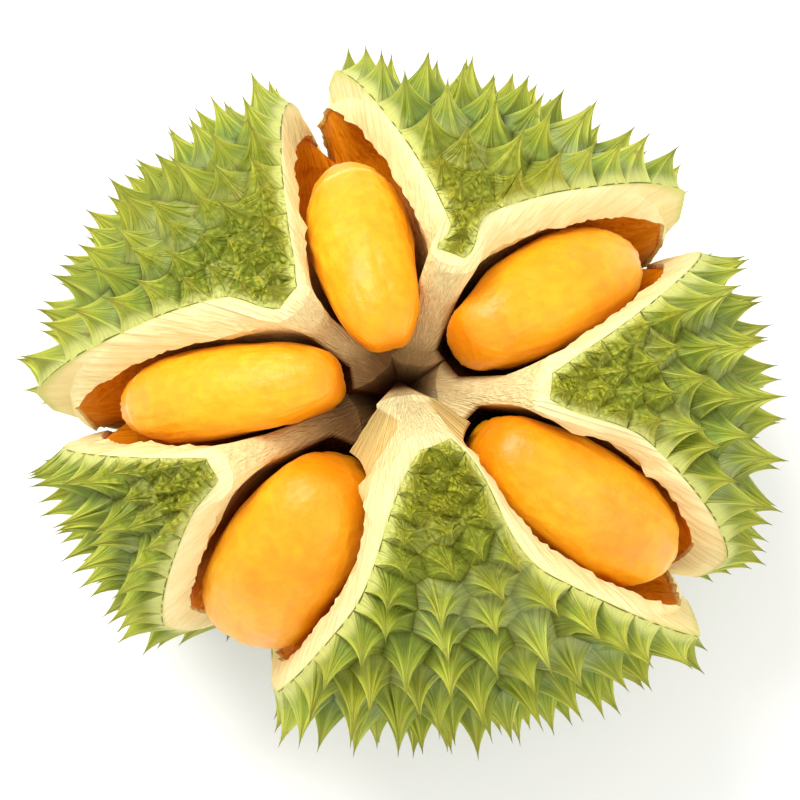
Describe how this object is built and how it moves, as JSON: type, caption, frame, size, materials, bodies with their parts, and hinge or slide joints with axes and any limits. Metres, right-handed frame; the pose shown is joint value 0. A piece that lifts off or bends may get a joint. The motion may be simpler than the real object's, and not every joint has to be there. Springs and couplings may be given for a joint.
{
  "type": "durian",
  "caption": "Ripe durian split open from its blossom end: a thorny husk in valves joined at the stem end, with a pod of flesh in each locule.",
  "frame": {"origin": "centre of the trimmed stalk's cut face, which the fruit stands on", "axes": "+Z along the fruit's own axis from the stem end up to the blossom end, +X across its widest way, -Y towards the short valve between two front splits"},
  "size_m": [0.2398, 0.2223, 0.1907],
  "materials": {
    "husk": "matte fibrous rind with a cream pith",
    "flesh": "moist, soft sheen",
    "stalk": "dry bark and cut wood"
  },
  "bodies": {
    "root": {"husk": "husk", "flesh_pod_right": "flesh", "flesh_pod_back": "flesh", "flesh_pod_left": "flesh", "flesh_pod_front_left": "flesh", "flesh_pod_front_right": "flesh", "stalk": "stalk"}
  },
  "joints": []
}
